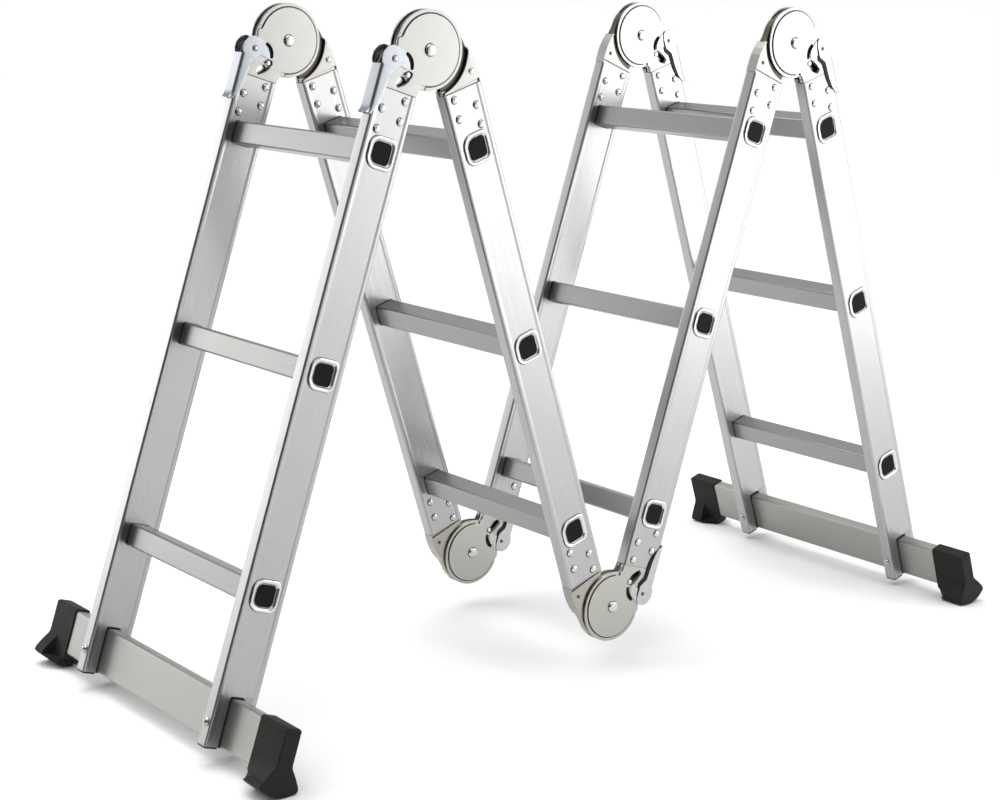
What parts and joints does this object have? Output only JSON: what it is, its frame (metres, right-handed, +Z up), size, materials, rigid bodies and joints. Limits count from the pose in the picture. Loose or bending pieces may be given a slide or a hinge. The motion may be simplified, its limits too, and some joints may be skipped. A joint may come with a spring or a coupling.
{
  "type": "multi position folding ladder",
  "caption": "Folding multi position ladder of hinged aluminium sections in an M, with locking hinges, release levers, stabiliser bars and rubber feet.",
  "frame": {"origin": "centre of the footprint, on the floor under the soles", "axes": "+X along the M from the outer section a to the outer section d, +Y along the rungs to the far rails, +Z up"},
  "size_m": [1.3142, 0.6064, 0.9104],
  "materials": {
    "rail_aluminium": "satin extruded aluminium, faint lengthwise grain",
    "rung_aluminium": "satin extruded aluminium, slightly darker than the rails",
    "bar_aluminium": "satin extruded aluminium",
    "hinge_steel": "zinc or nickel plated pressed steel, warm grey, smooth",
    "rivet_steel": "bright plated steel",
    "lever_steel": "bright plated sheet steel",
    "bolt_steel": "plated steel, darker",
    "foot_rubber": "black moulded rubber, matt"
  },
  "bodies": {
    "section_a": {"rail_a_near": "rail_aluminium", "rail_a_far": "rail_aluminium", "rung_a1": "rung_aluminium", "rung_a2": "rung_aluminium", "rung_a3": "rung_aluminium", "stabiliser_bar_a": "bar_aluminium", "foot_a_near": "foot_rubber", "bar_bolt_a_near": "bolt_steel", "foot_a_far": "foot_rubber", "bar_bolt_a_far": "bolt_steel", "hinge_ab_near_outer": "hinge_steel", "hinge_ab_near_pivot": "rivet_steel", "hinge_ab_far_outer": "hinge_steel", "hinge_ab_far_pivot": "rivet_steel"},
    "section_b": {"rail_b_near": "rail_aluminium", "rail_b_far": "rail_aluminium", "rung_b1": "rung_aluminium", "rung_b2": "rung_aluminium", "rung_b3": "rung_aluminium", "hinge_ab_near_inner": "hinge_steel", "hinge_ab_far_inner": "hinge_steel", "hinge_bc_near_inner": "hinge_steel", "hinge_bc_far_inner": "hinge_steel"},
    "section_c": {"rail_c_near": "rail_aluminium", "rail_c_far": "rail_aluminium", "rung_c1": "rung_aluminium", "rung_c2": "rung_aluminium", "rung_c3": "rung_aluminium", "hinge_bc_near_outer": "hinge_steel", "hinge_bc_near_pivot": "rivet_steel", "hinge_bc_far_outer": "hinge_steel", "hinge_bc_far_pivot": "rivet_steel", "hinge_cd_near_inner": "hinge_steel", "hinge_cd_far_inner": "hinge_steel"},
    "section_d": {"rail_d_near": "rail_aluminium", "rail_d_far": "rail_aluminium", "rung_d1": "rung_aluminium", "rung_d2": "rung_aluminium", "rung_d3": "rung_aluminium", "stabiliser_bar_d": "bar_aluminium", "foot_d_near": "foot_rubber", "bar_bolt_d_near": "bolt_steel", "foot_d_far": "foot_rubber", "bar_bolt_d_far": "bolt_steel", "hinge_cd_near_outer": "hinge_steel", "hinge_cd_near_pivot": "rivet_steel", "hinge_cd_far_outer": "hinge_steel", "hinge_cd_far_pivot": "rivet_steel"},
    "lever_ab_near": {"hinge_ab_near_lever": "lever_steel"},
    "lock_pin_ab_near": {"hinge_ab_near_lock_pin": "rivet_steel"},
    "lever_ab_far": {"hinge_ab_far_lever": "lever_steel"},
    "lock_pin_ab_far": {"hinge_ab_far_lock_pin": "rivet_steel"},
    "lever_bc_near": {"hinge_bc_near_lever": "lever_steel"},
    "lock_pin_bc_near": {"hinge_bc_near_lock_pin": "rivet_steel"},
    "lever_bc_far": {"hinge_bc_far_lever": "lever_steel"},
    "lock_pin_bc_far": {"hinge_bc_far_lock_pin": "rivet_steel"},
    "lever_cd_near": {"hinge_cd_near_lever": "lever_steel"},
    "lock_pin_cd_near": {"hinge_cd_near_lock_pin": "rivet_steel"},
    "lever_cd_far": {"hinge_cd_far_lever": "lever_steel"},
    "lock_pin_cd_far": {"hinge_cd_far_lock_pin": "rivet_steel"}
  },
  "joints": [
    {"name": "fold_ab", "type": "hinge", "parent": "section_a", "child": "section_b", "pos_m": [-0.32082, 0, 0.86041], "axis": [0, -1, 0], "range_deg": [-36, 144]},
    {"name": "fold_bc", "type": "hinge", "parent": "section_b", "child": "section_c", "pos_m": [0, 0, 0.08142], "axis": [0, 1, 0], "range_deg": [-36, 144]},
    {"name": "fold_cd", "type": "hinge", "parent": "section_c", "child": "section_d", "pos_m": [0.32082, 0, 0.86041], "axis": [0, -1, 0], "range_deg": [-36, 144]},
    {"name": "lever_ab_near", "type": "hinge", "parent": "section_a", "child": "lever_ab_near", "pos_m": [-0.3753, -0.16345, 0.8513], "axis": [0, 1, 0], "range_deg": [0, 22], "stiffness_Nm_per_rad": 1, "springref_deg": -14.32},
    {"name": "lock_pin_ab_near", "type": "slide", "parent": "section_a", "child": "lock_pin_ab_near", "axis": [-0.7408, 0, -0.6717], "range_m": [0, 0.009]},
    {"name": "lever_ab_far", "type": "hinge", "parent": "section_a", "child": "lever_ab_far", "pos_m": [-0.3753, 0.16345, 0.8513], "axis": [0, 1, 0], "range_deg": [0, 22], "stiffness_Nm_per_rad": 1, "springref_deg": -14.32},
    {"name": "lock_pin_ab_far", "type": "slide", "parent": "section_a", "child": "lock_pin_ab_far", "axis": [-0.7408, 0, -0.6717], "range_m": [0, 0.009]},
    {"name": "lever_bc_near", "type": "hinge", "parent": "section_c", "child": "lever_bc_near", "pos_m": [0.05448, -0.16345, 0.09053], "axis": [0, 1, 0], "range_deg": [0, 22], "stiffness_Nm_per_rad": 1, "springref_deg": -14.32},
    {"name": "lock_pin_bc_near", "type": "slide", "parent": "section_c", "child": "lock_pin_bc_near", "axis": [0.7408, 0, 0.6717], "range_m": [0, 0.009]},
    {"name": "lever_bc_far", "type": "hinge", "parent": "section_c", "child": "lever_bc_far", "pos_m": [0.05448, 0.16345, 0.09053], "axis": [0, 1, 0], "range_deg": [0, 22], "stiffness_Nm_per_rad": 1, "springref_deg": -14.32},
    {"name": "lock_pin_bc_far", "type": "slide", "parent": "section_c", "child": "lock_pin_bc_far", "axis": [0.7408, 0, 0.6717], "range_m": [0, 0.009]},
    {"name": "lever_cd_near", "type": "hinge", "parent": "section_d", "child": "lever_cd_near", "pos_m": [0.3753, -0.16345, 0.8513], "axis": [0, -1, 0], "range_deg": [0, 22], "stiffness_Nm_per_rad": 1, "springref_deg": -14.32},
    {"name": "lock_pin_cd_near", "type": "slide", "parent": "section_d", "child": "lock_pin_cd_near", "axis": [0.7408, 0, -0.6717], "range_m": [0, 0.009]},
    {"name": "lever_cd_far", "type": "hinge", "parent": "section_d", "child": "lever_cd_far", "pos_m": [0.3753, 0.16345, 0.8513], "axis": [0, -1, 0], "range_deg": [0, 22], "stiffness_Nm_per_rad": 1, "springref_deg": -14.32},
    {"name": "lock_pin_cd_far", "type": "slide", "parent": "section_d", "child": "lock_pin_cd_far", "axis": [0.7408, 0, -0.6717], "range_m": [0, 0.009]}
  ],
  "couplings": [
    {"joint": "lock_pin_ab_near", "follows": "lever_ab_near", "m_per_rad": 0.0234},
    {"joint": "lock_pin_ab_far", "follows": "lever_ab_far", "m_per_rad": 0.0234},
    {"joint": "lock_pin_bc_near", "follows": "lever_bc_near", "m_per_rad": 0.0234},
    {"joint": "lock_pin_bc_far", "follows": "lever_bc_far", "m_per_rad": 0.0234},
    {"joint": "lock_pin_cd_near", "follows": "lever_cd_near", "m_per_rad": 0.0234},
    {"joint": "lock_pin_cd_far", "follows": "lever_cd_far", "m_per_rad": 0.0234}
  ]
}
